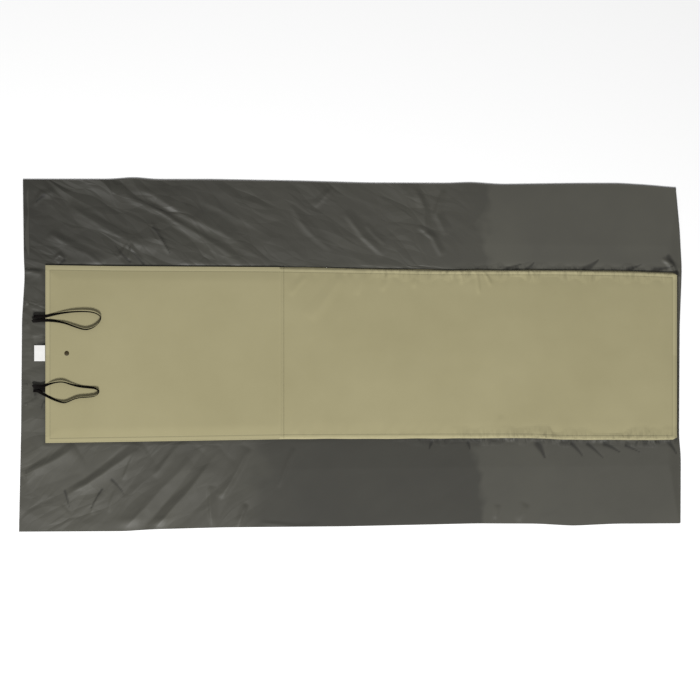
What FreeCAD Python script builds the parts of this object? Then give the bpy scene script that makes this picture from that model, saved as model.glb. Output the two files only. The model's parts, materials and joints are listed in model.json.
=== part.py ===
import FreeCAD, Part
import math
import os

V = FreeCAD.Vector

# A bivy sack laid out flat on its upper cover, so that its underside and mat sleeve face up.
# Millimetres. +X runs from the head (mouth) to the foot, +Y is across the sack, +Z is up.
# The origin is on the floor below the middle of the sack.

# driving dimensions of the sack
sack_length = 2190.0
head_width = 1170.0
foot_width = 1122.0
cloth = 1.0            # one laid panel with its small creases
sack_gap = 8.0         # sleeping space as it lies, between the two panels
side_seam_width = 12.0
mouth_hem_width = 20.0

# driving dimensions of the mat sleeve and its flap
sleeve_gap = 6.0       # space for the mat as it lies
flap_length = 783.0
sleeve_head_width = 592.0
sleeve_foot_width = 558.0
flap_inset = 78.0      # from the sack's mouth to the flap's free edge
foot_inset = 6.0       # from the sack's foot to the sleeve's foot
sleeve_seam_width = 8.0
hem_width = 18.0
seam_overlap = 12.0    # the flap's allowance on the sleeve panel
hinge_gap = 1.0        # between the flap's sewn edge and the sleeve panel

# press stud
cap_radius = 8.0
cap_height = 2.2
shank_radius = 1.8
socket_radius = 6.5
socket_wall = 2.1
socket_roof = 0.8
socket_height = 3.8
stud_radius = 3.6
stud_flange_radius = 6.2
stud_flange = 1.2
stud_height = 4.6
stud_behind_edge = 71.0
stud_across = 7.0

# elastic loops, flat tape sewn under the flap's free edge and folded back over it
tape_width = 10.0
tape_thick = 1.2
loop_reach = 38.0      # how far the tape runs out before it folds back
loop_tuck = 14.0       # how far its ends go in under the hem
strand_offset = 6.0    # each strand's middle from the middle of the loop's root
loop_clearance = 1.0   # between the flap and the strands that lie over it
bend_share = 0.45      # of the shorter run, used by each bend

# care label
label_width = 53.0
label_length = 36.0
label_thick = 0.5
label_across = 8.0
label_drop = 12.0      # length over which it comes down to the cloth

# levels
floor_z = 0.0
space_z = floor_z + cloth
underside_z = space_z + sack_gap
underside_top = underside_z + cloth
sleeve_z = underside_top + sleeve_gap
sleeve_top = sleeve_z + cloth

# places along the sack
head_x = -sack_length / 2
foot_x = sack_length / 2
flap_x = head_x + flap_inset
seam_x = flap_x + flap_length
sleeve_foot_x = foot_x - foot_inset
stud_x = flap_x + stud_behind_edge
fold_x = flap_x - loop_reach
fold_low = sleeve_z - cloth - tape_thick / 2
fold_high = sleeve_top + loop_clearance + tape_thick / 2
fold_z = (fold_low + fold_high) / 2
fold_radius = (fold_high - fold_low) / 2

# each loop's lay over the flap, seen from above, from one strand's fold round to the other's:
# (away from the fold, across from the middle of the root)
left_loop_y = 124.0
left_loop_route = [
    (0, 6), (34, 6), (72, 16), (116, 22), (162, 24.5), (200, 21), (223, 6), (216, -16),
    (196, -31), (172, -38), (136, -28), (98, -13), (60, -8), (24, -6), (0, -6),
]
right_loop_y = -110.0
right_loop_route = [
    (0, 6), (30, 6), (62, 18.5), (90, 22.5), (119, 14), (153, 9), (184, 7), (203, 4.5),
    (216, -9), (205, -24), (176, -27.5), (138, -31), (100, -45), (70, -38), (43, -24),
    (21, -6), (0, -6),
]

os.makedirs("parts", exist_ok=True)


def save(name, shape):
    shape.exportStep(f"parts/{name}.step")
    print(f"{name}: {shape.Volume / 1000:.2f} cm3, valid {shape.isValid()}")
    return shape


def prism(points, z0, height):
    # a flat outline raised to a closed solid
    corners = [V(x, y, z0) for x, y in points]
    face = Part.Face(Part.makePolygon(corners + corners[:1]))
    return face.extrude(V(0, 0, height))


def sackHalf(x):
    # half of the sack's width, which tapers from head to foot
    return head_width / 2 + (foot_width - head_width) / 2 * (x - head_x) / sack_length


def sleeveHalf(x):
    # half of the sleeve's width, which tapers the same way
    share = (x - flap_x) / (sleeve_foot_x - flap_x)
    return sleeve_head_width / 2 + (sleeve_foot_width - sleeve_head_width) / 2 * share


def band(x0, x1, half, inset, z0, height):
    # a tapered sheet between x0 and x1, set in from its side edges
    a, b = half(x0) - inset, half(x1) - inset
    return prism([(x0, -a), (x1, -b), (x1, b), (x0, a)], z0, height)


def sideStrip(x0, x1, half, width, side, z0, height):
    # a strip along one side edge; side is 1 for +Y and -1 for -Y
    a, b = half(x0), half(x1)
    points = [(x0, a), (x1, b), (x1, b - width), (x0, a - width)]
    return prism([(x, side * y) for x, y in points], z0, height)


def disc(radius, x, y, z0, height):
    return Part.makeCylinder(radius, height, V(x, y, z0))


def makeSack():
    save("cover_panel", band(head_x, foot_x, sackHalf, 0, floor_z, cloth))
    panel = band(head_x, foot_x, sackHalf, 0, underside_z, cloth)
    save("underside_panel", panel.cut(disc(shank_radius, stud_x, stud_across, underside_z, cloth)))
    for name, side in (("left", 1), ("right", -1)):
        seam = sideStrip(head_x, foot_x, sackHalf, side_seam_width, side, space_z, sack_gap)
        save(f"{name}_side_seam", seam)
    seam_start = foot_x - side_seam_width
    save("foot_seam", band(seam_start, foot_x, sackHalf, side_seam_width, space_z, sack_gap))
    hem_end = head_x + mouth_hem_width
    for name, z in (("cover", space_z), ("underside", underside_z - cloth)):
        save(f"{name}_mouth_hem", band(head_x, hem_end, sackHalf, side_seam_width, z, cloth))


def makeSleeve():
    save("sleeve_panel", band(seam_x, sleeve_foot_x, sleeveHalf, 0, sleeve_z, cloth))
    for name, side in (("left", 1), ("right", -1)):
        seam = sideStrip(seam_x, sleeve_foot_x, sleeveHalf, sleeve_seam_width, side,
                         underside_top, sleeve_gap)
        save(f"sleeve_{name}_seam", seam)
    seam_start = sleeve_foot_x - sleeve_seam_width
    save("sleeve_foot_seam", band(seam_start, sleeve_foot_x, sleeveHalf, sleeve_seam_width,
                                  underside_top, sleeve_gap))
    save("sleeve_mouth_hem", band(seam_x, seam_x + hem_width, sleeveHalf, sleeve_seam_width,
                                  sleeve_z - cloth, cloth))
    save("cross_seam", band(seam_x, seam_x + seam_overlap, sleeveHalf, 0, sleeve_top, cloth))


def makeFlap():
    flap_end = seam_x - hinge_gap
    hem_z = sleeve_z - cloth
    cover = band(flap_x, flap_end, sleeveHalf, 0, sleeve_z, cloth)
    save("sleeve_flap", cover.cut(disc(shank_radius, stud_x, stud_across, sleeve_z, cloth)))
    save("flap_head_hem", band(flap_x, flap_x + hem_width, sleeveHalf, 0, hem_z, cloth))
    for name, side in (("left", 1), ("right", -1)):
        hem = sideStrip(flap_x + hem_width, flap_end, sleeveHalf, hem_width, side, hem_z, cloth)
        save(f"flap_{name}_hem", hem)


def makePressStud():
    # cap and socket are riveted through the flap, stud and post through the underside panel
    cap = disc(cap_radius, stud_x, stud_across, sleeve_top, cap_height)
    rim = [e for e in cap.Edges if e.BoundBox.ZMin > sleeve_top + cap_height / 2
           and e.BoundBox.ZLength < 0.01]
    cap = cap.makeFillet(cap_height * 0.6, rim)
    save("snap_cap", cap.fuse(disc(shank_radius, stud_x, stud_across, sleeve_z, cloth)).removeSplitter())
    socket_z = sleeve_z - socket_height
    socket = disc(socket_radius, stud_x, stud_across, socket_z, socket_height)
    cavity = disc(socket_radius - socket_wall, stud_x, stud_across, socket_z,
                  socket_height - socket_roof)
    save("snap_socket", socket.cut(cavity))
    stud = disc(stud_radius, stud_x, stud_across, underside_top, stud_height)
    tip = [e for e in stud.Edges if e.BoundBox.ZMin > underside_top + stud_height / 2
           and e.BoundBox.ZLength < 0.01]
    stud = stud.makeFillet(stud_radius * 0.4, tip)
    flange = disc(stud_flange_radius, stud_x, stud_across, underside_top, stud_flange)
    save("snap_stud", stud.fuse(flange).removeSplitter())
    post = disc(stud_flange_radius, stud_x, stud_across, underside_z - cloth, cloth)
    shank = disc(shank_radius, stud_x, stud_across, underside_z, cloth)
    save("snap_post", post.fuse(shank).removeSplitter())


def bentPath(points):
    # straight runs joined by tangent arcs, each as large as its two runs allow
    edges = []
    radii = []
    start = points[0]
    for before, corner, after in zip(points, points[1:], points[2:]):
        into, out = corner - before, after - corner
        turn = into.getAngle(out)
        cut = bend_share * min(into.Length, out.Length)
        radii.append(cut / math.tan(turn / 2))
        into.normalize()
        out.normalize()
        first, last = corner - into * cut, corner + out * cut
        middle = corner + (out - into).normalize() * radii[-1] * (1 / math.cos(turn / 2) - 1)
        edges.append(Part.LineSegment(start, first).toShape())
        edges.append(Part.Arc(first, middle, last).toShape())
        start = last
    edges.append(Part.LineSegment(start, points[-1]).toShape())
    return edges, radii


def sweepTape(edges, width, height, z):
    # a rectangle carried along a flat path; z is its lower face
    path = Part.Wire(edges)
    start = edges[0].Vertexes[0].Point
    along = edges[0].tangentAt(edges[0].FirstParameter)
    side = V(-along.y, along.x, 0).normalize() * (width / 2)
    low, high = V(0, 0, z - start.z), V(0, 0, z - start.z + height)
    corners = [start - side + low, start + side + low, start + side + high, start - side + high]
    profile = Part.makePolygon(corners + corners[:1])
    return path.makePipeShell([profile], True, False)


def makeLoop(name, y, route):
    # the tape lies flat near its fold and stands on edge further out
    low = fold_high - tape_thick / 2
    points = [V(fold_x + x, y + across, 0) for x, across in route]
    edges, radii = bentPath(points)
    flat = 3
    pieces = [
        sweepTape(edges[:flat], tape_width, tape_thick, low),
        sweepTape(edges[flat:-flat], tape_thick, tape_width, low),
        sweepTape(edges[-flat:], tape_width, tape_thick, low),
    ]
    loop = pieces[0].fuse(pieces[1:]).removeSplitter()
    save(f"{name}_loop_band", loop)
    length = sum(e.Length for e in edges)
    section = tape_width * tape_thick
    print(f"  {name} loop: {length:.1f} mm over the flap, bend radii",
          " ".join(f"{r:.0f}" for r in radii),
          f"volume over section x length {loop.Volume / section / length:.3f}")
    fold_length = math.pi * fold_radius
    print(f"  whole tape {length + 2 * (fold_length + loop_reach + loop_tuck):.0f} mm")
    roots, folds = [], []
    for across in (strand_offset, -strand_offset):
        edge_y = y + across - tape_width / 2
        roots.append(Part.makeBox(loop_reach + loop_tuck, tape_width, tape_thick,
                                  V(fold_x, edge_y, fold_low - tape_thick / 2)))
        outer = Part.makeCylinder(fold_radius + tape_thick / 2, tape_width,
                                  V(fold_x, edge_y, fold_z), V(0, 1, 0))
        inner = Part.makeCylinder(fold_radius - tape_thick / 2, tape_width,
                                  V(fold_x, edge_y, fold_z), V(0, 1, 0))
        keep = Part.makeBox(2 * fold_radius, tape_width, 4 * fold_radius,
                            V(fold_x - 2 * fold_radius, edge_y, fold_z - 2 * fold_radius))
        folds.append(outer.cut(inner).common(keep))
    save(f"{name}_loop_root", Part.makeCompound(roots))
    save(f"{name}_loop_fold", Part.makeCompound(folds))


def makeLabel():
    # sewn under the flap's free edge; it comes down to the cloth and lies on it
    start_x = flap_x - 1.2
    rest_z = underside_top + 0.4
    top = [(start_x, sleeve_z - 0.6), (start_x - label_drop, rest_z + label_thick),
           (start_x - label_length, rest_z + label_thick)]
    outline = top + [(x, z - label_thick) for x, z in reversed(top)]
    corners = [V(x, label_across - label_width / 2, z) for x, z in outline]
    face = Part.Face(Part.makePolygon(corners + corners[:1]))
    save("care_label", face.extrude(V(0, label_width, 0)))


makeSack()
makeSleeve()
makeFlap()
makePressStud()
makeLoop("left", left_loop_y, left_loop_route)
makeLoop("right", right_loop_y, right_loop_route)
makeLabel()
print(f"flap hinge at x {seam_x - hinge_gap / 2:.2f}, z {sleeve_top + 1.5:.2f}")
print(f"loop hinges at x {fold_x:.2f}, z {fold_z:.2f}; label hinge at x {flap_x - 1:.2f}")
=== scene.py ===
import json
import math

import bmesh
import bpy
import numpy as np
from mathutils import Matrix, Vector


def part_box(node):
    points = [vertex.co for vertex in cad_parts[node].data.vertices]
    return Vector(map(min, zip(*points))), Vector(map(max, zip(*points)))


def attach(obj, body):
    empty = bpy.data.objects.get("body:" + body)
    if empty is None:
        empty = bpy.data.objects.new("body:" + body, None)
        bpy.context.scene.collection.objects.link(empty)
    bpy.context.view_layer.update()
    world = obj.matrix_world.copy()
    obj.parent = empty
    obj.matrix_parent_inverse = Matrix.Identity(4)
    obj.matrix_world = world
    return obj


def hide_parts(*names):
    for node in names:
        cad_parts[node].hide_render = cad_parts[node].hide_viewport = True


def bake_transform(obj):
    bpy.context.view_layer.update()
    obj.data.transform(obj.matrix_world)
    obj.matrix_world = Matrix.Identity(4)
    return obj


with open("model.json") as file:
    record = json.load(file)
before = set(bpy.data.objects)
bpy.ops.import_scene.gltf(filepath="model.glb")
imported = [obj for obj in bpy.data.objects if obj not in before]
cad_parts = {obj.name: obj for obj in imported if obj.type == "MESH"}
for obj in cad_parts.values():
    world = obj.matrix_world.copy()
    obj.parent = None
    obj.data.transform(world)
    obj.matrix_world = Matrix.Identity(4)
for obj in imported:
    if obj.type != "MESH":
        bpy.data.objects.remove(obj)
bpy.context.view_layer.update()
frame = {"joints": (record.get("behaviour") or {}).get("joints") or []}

scene = bpy.context.scene


# ---- small helpers

def srgb(hexValue):  # sRGB hex to the linear colour that a shader takes
    parts = [int(hexValue[i:i + 2], 16) / 255 for i in (0, 2, 4)]
    return [c / 12.92 if c <= 0.04045 else ((c + 0.055) / 1.055) ** 2.4 for c in parts] + [1.0]


def addNode(tree, kind, settings=None, inputs=None, links=None):
    # one node with its settings, its socket values and what feeds its sockets
    node = tree.nodes.new("ShaderNode" + kind)
    for name, value in (settings or {}).items():
        setattr(node, name, value)
    for name, value in (inputs or {}).items():
        node.inputs[name].default_value = value
    for name, socket in (links or {}).items():
        tree.links.new(socket, node.inputs[name])
    return node


def newMaterial(name, inputs):
    material = bpy.data.materials.new(name)
    material.use_nodes = True
    shader = material.node_tree.nodes["Principled BSDF"]
    for socket, value in inputs.items():
        shader.inputs[socket].default_value = value
    return material, material.node_tree, shader


def smooth(t):  # 0 to 1 with soft ends
    t = np.clip(t, 0, 1)
    return t * t * (3 - 2 * t)


def bell(d, width):
    return np.exp(-(d / width) ** 2)


def noise(x, y, size, seed):
    # gradient noise from -1 to 1, with lumps of the given size
    angles = np.random.default_rng(seed).uniform(0, 2 * np.pi, (256, 256))
    gx, gy = x / size + 57.3, y / size + 91.7
    ix, iy = np.floor(gx).astype(int), np.floor(gy).astype(int)
    fx, fy = gx - ix, gy - iy

    def corner(dx, dy):
        a = angles[(ix + dx) % 256, (iy + dy) % 256]
        return np.cos(a) * (fx - dx) + np.sin(a) * (fy - dy)

    sx, sy = (f ** 3 * (f * (f * 6 - 15) + 10) for f in (fx, fy))
    low = corner(0, 0) * (1 - sx) + corner(1, 0) * sx
    high = corner(0, 1) * (1 - sx) + corner(1, 1) * sx
    return (low * (1 - sy) + high * sy) * 1.5


def tent(x, y, points, height, left, right):
    # a fold along a line: left and right are its reach on each side, seen along the line
    lengths = [math.dist(a, b) for a, b in zip(points, points[1:])]
    total = sum(lengths)
    out = np.zeros_like(x)
    gone = 0.0
    for (ax, ay), (bx, by), length in zip(points, points[1:], lengths):
        ux, uy = (bx - ax) / length, (by - ay) / length
        along = np.clip((x - ax) * ux + (y - ay) * uy, 0, length)
        side = (y - ay) * ux - (x - ax) * uy
        away = np.hypot(x - ax - along * ux, y - ay - along * uy)
        share = (gone + along) / total
        reach = np.where(side > 0, left, right) * (0.75 + 0.5 * share)
        value = np.clip(1 - away / reach, 0, 1) ** 1.08 * (1 - (2 * share - 1) ** 4)
        out = np.maximum(out, value)
        gone += length
    return out * height


def gridPiece(name, columns, rows, place):
    # a grid from an operator, with each point put in place by a function of u and v (0 to 1)
    bm = bmesh.new()
    bmesh.ops.create_grid(bm, x_segments=columns, y_segments=rows, size=0.5)
    mesh = bpy.data.meshes.new(name)
    bm.to_mesh(mesh)
    bm.free()
    points = np.zeros(len(mesh.vertices) * 3, np.float32)
    mesh.vertices.foreach_get("co", points)
    u, v = points[0::3] + 0.5, points[1::3] + 0.5
    points = np.stack(place(u.astype(float), v.astype(float)), axis=1)
    mesh.vertices.foreach_set("co", points.astype(np.float32).ravel())
    mesh.shade_smooth()
    piece = bpy.data.objects.new(name, mesh)
    scene.collection.objects.link(piece)
    return piece


def applyModifiers(piece):
    depsgraph = bpy.context.evaluated_depsgraph_get()
    mesh = bpy.data.meshes.new_from_object(piece.evaluated_get(depsgraph))
    piece.modifiers.clear()
    piece.data = mesh
    mesh.name = piece.name


def thicken(piece, thickness):
    solid = piece.modifiers.new("thickness", "SOLIDIFY")
    solid.thickness = thickness
    solid.offset = -1.0
    solid.use_even_offset = False
    applyModifiers(piece)


def finishPiece(name, bm, material, smoothAll=True):
    mesh = bpy.data.meshes.new(name)
    bm.to_mesh(mesh)
    bm.free()
    if smoothAll:
        mesh.shade_smooth()
    piece = bpy.data.objects.new(name, mesh)
    scene.collection.objects.link(piece)
    mesh.materials.append(material)
    return piece


# ---- places, from the frame

sackLow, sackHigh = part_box("underside_panel")
flapLow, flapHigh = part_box("sleeve_flap")
sleeveLow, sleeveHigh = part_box("sleeve_panel")
headX, footX = sackLow[0], sackHigh[0]
headHalf = sackHigh[1]
seamX = sleeveLow[0]
flapX = flapLow[0]
sleeveFootX = sleeveHigh[0]
flapHalf = flapHigh[1]
sleeveSeamHalf = sleeveHigh[1]
sleeveTaper = (flapHalf - sleeveSeamHalf) / (seamX - flapX)
sackTaper = 24e-3 / (footX - headX)   # each side comes in this much over the sack's length


def lay(edge, at):
    # how far an edge lies out from its true cut, with soft turns between the marks
    spread = [np.interp(at + d, edge["at"], edge["out"]) for d in (-0.02, -0.01, 0.0, 0.01, 0.02)]
    return sum(spread) / len(spread)


sleeveLeftLay = dict(at=[-1.02, -0.78, -0.25, 0.0, 0.30, 0.70, 0.95, 1.08],
                     out=[0.0055, 0.004, 0.005, 0.003, 0.000, 0.003, 0.001, -0.003])
sleeveRightLay = dict(at=[-1.02, -0.60, -0.20, 0.30, 0.60, 0.72, 1.08],
                      out=[-0.0045, -0.0075, -0.011, -0.009, -0.007, -0.001, 0.002])


def sleeveHalfAt(x):  # half of the sleeve's true width
    return flapHalf - sleeveTaper * (x - flapX)


def sleeveY(x, t):
    # across the sleeve as it lies: t is -1 at its right edge and 1 at its left edge
    right = -sleeveHalfAt(x) - lay(sleeveRightLay, x)
    left = sleeveHalfAt(x) + lay(sleeveLeftLay, x)
    return (left + right) / 2 + t * (left - right) / 2


def sleeveIn(x, y):
    # how far a point lies inside the nearer long edge of the sleeve; less than 0 is outside
    return np.minimum(sleeveY(x, 1) - y, y - sleeveY(x, -1))


# the outline as it lies: how far each edge is out from the true cut, at places along it
layHead = dict(at=[-0.585, -0.25, 0.0, 0.12, 0.26, 0.33, 0.585],
               out=[0.010, 0.003, 0.001, 0.000, -0.009, -0.006, -0.003])
layFoot = dict(at=[-0.56, -0.34, -0.27, 0.09, 0.25, 0.29, 0.42, 0.56],
               out=[0.003, 0.004, -0.002, 0.000, 0.006, 0.007, 0.000, -0.013])
layLeft = dict(at=[-1.09, -0.80, -0.725, -0.65, -0.46, -0.17, 0.06, 0.33, 0.40, 0.50, 0.75, 0.90, 1.00, 1.09],
               out=[0.0, 0.003, 0.01, 0.004, 0.006, 0.004, 0.0,
                    0.002, 0.006, 0.0, 0.006, 0.008, 0.003, -0.004])
layRight = dict(at=[-1.10, -0.75, -0.66, -0.42, -0.02, 0.26, 0.42, 0.62, 0.74, 0.88, 1.09],
                out=[0.001, 0.003, -0.002, -0.006, -0.005, -0.008, -0.010, -0.007, 0.001, -0.004, -0.003])


def sackPoint(u, v):
    # plan position on a sack panel: u from head to foot, v from the right edge to the left
    x = headX + (footX - headX) * u
    right = -(headHalf - sackTaper * (x - headX)) - lay(layRight, x)
    left = headHalf - sackTaper * (x - headX) + lay(layLeft, x)
    y = right + (left - right) * v
    x = x - lay(layHead, y) * (1 - u) ** 6 + lay(layFoot, y) * u ** 6
    return x, y


# ---- underside panel: coated nylon, with the folds it was laid down with

underside = dict(
    columns=540, rows=178, wingRows=0.76,
    edgeZ=2.6e-3, mouthZ=7.0e-3, restZ=9.4e-3, pleatDepth=0.5e-3, pleatPaintedShade=0.58,
    folds=[  # line, height, reach to its left and right (metres)
        ([(-0.938, 0.5), (-0.808, 0.415), (-0.652, 0.342)], 0.0082, 0.031, 0.06),
        ([(-1.005, 0.415), (-0.908, 0.352), (-0.818, 0.302)], 0.0062, 0.022, 0.035),
        ([(-1.055, 0.5), (-1.03, 0.54), (-0.985, 0.545)], 0.0035, 0.014, 0.016),
        ([(-0.712, 0.575), (-0.562, 0.478), (-0.288, 0.33)], 0.0074, 0.052, 0.026),
        ([(-0.76, 0.535), (-0.618, 0.47), (-0.485, 0.392), (-0.368, 0.312)], 0.0052, 0.022, 0.02),
        ([(-0.668, 0.44), (-0.64, 0.4), (-0.598, 0.338)], 0.0034, 0.01, 0.008),
        ([(-0.748, 0.375), (-0.775, 0.325)], 0.0026, 0.01, 0.008),
        ([(-0.732, 0.375), (-0.742, 0.318)], 0.0028, 0.009, 0.009),
        ([(-0.742, 0.365), (-0.695, 0.31)], 0.0026, 0.009, 0.008),
        ([(-0.985, 0.322), (-0.968, 0.335), (-0.95, 0.318)], 0.0034, 0.01, 0.008),
        ([(-0.5, 0.52), (-0.38, 0.452), (-0.27, 0.43)], 0.003, 0.04, 0.022),
        ([(-0.2, 0.5), (-0.12, 0.395), (-0.06, 0.35)], 0.0034, 0.03, 0.016),
        ([(-0.06, 0.56), (-0.12, 0.5)], 0.003, 0.012, 0.018),
        ([(-0.02, 0.478), (0.045, 0.4), (0.112, 0.332)], 0.0052, 0.034, 0.014),
        ([(0.05, 0.44), (0.12, 0.372)], 0.0028, 0.018, 0.01),
        ([(0.215, 0.56), (0.248, 0.492), (0.25, 0.41)], 0.0052, 0.018, 0.022),
        ([(0.305, 0.55), (0.285, 0.47), (0.318, 0.4)], 0.0046, 0.024, 0.014),
        ([(0.225, 0.43), (0.27, 0.392), (0.305, 0.335)], 0.0046, 0.018, 0.012),
        ([(-1.092, -0.405), (-1.005, -0.358), (-0.92, -0.3)], 0.01, 0.019, 0.07),
        ([(-0.948, -0.472), (-0.85, -0.408), (-0.69, -0.298)], 0.0122, 0.023, 0.085),
        ([(-0.95, -0.462), (-0.958, -0.5), (-0.925, -0.53)], -0.0012, 0.012, 0.009),
        ([(-0.815, -0.646), (-0.635, -0.448), (-0.502, -0.318)], 0.012, 0.08, 0.04),
        ([(-0.71, -0.648), (-0.545, -0.452), (-0.432, -0.318)], 0.0128, 0.034, 0.065),
        ([(-0.762, -0.418), (-0.742, -0.368), (-0.712, -0.312)], 0.004, 0.01, 0.022),
        ([(-0.862, -0.525), (-0.832, -0.455)], 0.003, 0.008, 0.02),
        ([(-0.806, -0.52), (-0.778, -0.44)], 0.0028, 0.008, 0.018),
        ([(-0.575, -0.3), (-0.61, -0.345), (-0.655, -0.405)], 0.0034, 0.016, 0.012),
        ([(-0.463, -0.57), (-0.468, -0.435)], 0.0046, 0.008, 0.026),
        ([(-0.43, -0.478), (-0.38, -0.39), (-0.34, -0.305)], 0.0072, 0.04, 0.014),
        ([(-0.38, -0.58), (-0.348, -0.5)], 0.0056, 0.02, 0.009),
        ([(-0.24, -0.44), (-0.19, -0.31)], 0.0022, 0.014, 0.01),
        ([(-0.3, -0.555), (-0.18, -0.572), (-0.1, -0.566)], 0.0024, 0.01, 0.01),
        ([(0.478, -0.548), (0.492, -0.5)], 0.002, 0.012, 0.012),
        ([(0.56, -0.556), (0.592, -0.5)], 0.0026, 0.026, 0.012),
        ([(-1.095, 0.283), (-1.02, 0.275)], 0.006, 0.01, 0.018),
        ([(-1.095, 0.185), (-1.05, 0.165), (-1.02, 0.172)], 0.0058, 0.016, 0.01),
        ([(-1.095, 0.1), (-1.02, 0.12)], 0.004, 0.01, 0.012),
        ([(-1.095, -0.1), (-1.02, -0.088)], 0.0032, 0.012, 0.01),
        ([(-1.095, -0.168), (-1.05, -0.145), (-1.02, -0.128)], 0.0056, 0.014, 0.012),
        ([(1.04, 0.325), (1.1, 0.29)], 0.006, 0.012, 0.01),
        ([(1.06, 0.31), (1.095, 0.25)], 0.0055, 0.01, 0.01),
    ],
    # the short creases below are sunk a little and darkened with painted shade
    pleats=[  # short narrow creases: from, to, half width
        ((-1.02, 0.116), (-1.09, 0.104), 0.006), ((-1.036, 0.128), (-1.062, 0.146), 0.006),
        ((-1.022, 0.038), (-1.052, 0.041), 0.005), ((-1.04, -0.104), (-1.064, -0.094), 0.006),
        ((-1.036, -0.12), (-1.06, -0.136), 0.006), ((-1.012, -0.14), (-1.034, -0.182), 0.004),
        ((-1.022, 0.534), (-1.05, 0.51), 0.006), ((-0.955, 0.318), (-0.974, 0.3), 0.006),
        ((-0.658, 0.428), (-0.602, 0.342), 0.004), ((-0.735, 0.312), (-0.785, 0.368), 0.004),
        ((-0.69, 0.306), (-0.745, 0.372), 0.004), ((-0.828, -0.446), (-0.866, -0.512), 0.004),
        ((-0.796, -0.414), (-0.756, -0.46), 0.005), ((-0.952, -0.452), (-0.938, -0.506), 0.005),
        ((0.52, 0.29), (0.572, 0.306), 0.006), ((0.588, 0.288), (0.612, 0.31), 0.007),
        ((0.782, 0.288), (0.826, 0.318), 0.012), ((0.925, 0.288), (0.968, 0.302), 0.008),
        ((1.015, 0.286), (1.072, 0.296), 0.009), ((1.06, 0.33), (1.094, 0.272), 0.008),
        ((0.27, -0.29), (0.262, -0.312), 0.006), ((0.392, -0.29), (0.4, -0.316), 0.006),
        ((0.625, -0.294), (0.648, -0.34), 0.013), ((0.738, -0.294), (0.775, -0.336), 0.007),
        ((0.79, -0.294), (0.842, -0.342), 0.006), ((0.848, -0.294), (0.898, -0.322), 0.008),
        ((0.918, -0.3), (0.964, -0.322), 0.005), ((1.062, -0.29), (1.088, -0.33), 0.007),
    ],
    waves=[  # broad flat planes: size, direction, slope, seed
        (0.15, -29, 0.05, 61), (0.095, -42, 0.045, 62), (0.12, 12, 0.03, 63),
    ],
    settle=dict(columns=240, rows=92, frames=12, softening=6, farthest=6e-3),
)


def broadPlanes(x, y):
    # straight-creased waves laid over one another, turned the other way in the right wing
    z = np.zeros_like(x)
    for size, degrees, slope, seed in underside["waves"]:
        turn = np.where(y > 0, degrees, -degrees * 1.35)
        a = np.radians(turn)
        across = y * np.cos(a) - x * np.sin(a)
        phase = (across + size * 0.7 * noise(x, y, size * 2.5, seed)) / size
        wave = np.abs(phase - np.floor(phase) - 0.5) * 2
        share = smooth(noise(x, y, size * 2.2, seed + 10) * 0.9 + 0.55)
        z += wave * share * slope * size / 2
    return z


def crumpleShare(x, y):
    # how creased the cloth is: most towards the head, less towards the foot
    left = smooth((0.50 - x) / 0.25) * (0.55 + 0.45 * smooth((-0.15 - x) / 0.5))
    right = 0.06 + 0.50 * smooth((-0.26 - x) / 0.16)
    return np.where(y > 0, left, right)


def baseHeight(x, y):
    # level of the laid cloth with no folds in it
    half = headHalf - sackTaper * (x - headX)
    rise = np.clip((half - np.abs(y) + 0.004) / 0.20, 0, 1) ** 0.85
    rise = np.minimum(rise, smooth((footX - x + 0.012) / 0.05))
    base = underside["edgeZ"] + (underside["restZ"] - underside["edgeZ"]) * rise
    mouth = 1 - smooth((x - headX) / 0.06)
    return base * (1 - mouth) + np.minimum(base, underside["mouthZ"]) * mouth


def coveredShare(x, y):
    # 1 where the sleeve, the flap or the label lies on the cloth
    under = smooth((0.010 + sleeveIn(x, y)) / 0.012) * smooth((x - flapX + 0.010) / 0.012)
    labelled = smooth((0.050 - np.abs(y - 0.008)) / 0.010) * smooth((x - flapX + 0.046) / 0.008)
    return np.maximum(under, labelled)


def undersideHeight(x, y):
    # height of the cloth's upper face as it is laid down
    wx = x + 0.007 * noise(x, y, 0.15, 5) + 0.0010 * noise(x, y, 0.04, 6)
    wy = y + 0.007 * noise(x, y, 0.15, 7) + 0.0010 * noise(x, y, 0.04, 8)
    height = np.zeros_like(x)
    for points, tall, left, right in underside["folds"]:
        height += tent(wx, wy, points, tall, left, right)
    height += broadPlanes(x, y) * crumpleShare(x, y) + 0.7e-3 * noise(x, y, 0.2, 13)
    # it draws in beside the seams that hold the sleeve
    out = -sleeveIn(x, y)
    height -= (1.6e-3 * bell(out - 0.004, 0.010) * gatherShare(x, y)
               + underside["pleatDepth"] * pleatShare(x, y))
    rooted = sum(smooth((0.040 - np.abs(y - c)) / 0.012) for c in (0.124, -0.110))
    covered = coveredShare(x, y)
    height *= (1 - covered) * (1 - 0.8 * rooted * smooth((x - flapX + 0.055) / 0.012))
    half = headHalf - sackTaper * (x - headX)
    side = np.minimum(half - np.abs(y), footX - x)
    height *= 0.3 + 0.7 * smooth((side + 0.002) / 0.04)
    base = baseHeight(x, y)
    z = np.maximum(base + height, underside["edgeZ"] * 0.9)
    return z * (1 - covered) + np.minimum(z, base) * covered


def pleatShare(x, y):
    # 1 at the bottom of a short crease, drawn to a point at its far end
    share = np.zeros_like(x)
    for (ax, ay), (bx, by), half in underside["pleats"]:
        dot = (x - ax) * (bx - ax) + (y - ay) * (by - ay)
        along = np.clip(dot / math.dist((ax, ay), (bx, by)) ** 2, 0, 1)
        bow = 0.12 * along * (1 - along)
        away = np.hypot(x - ax - (along + bow) * (bx - ax), y - ay - (along - bow) * (by - ay))
        share = np.maximum(share, smooth(1.25 - away / (half * (1.2 - 0.95 * along))))
    return share


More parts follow.
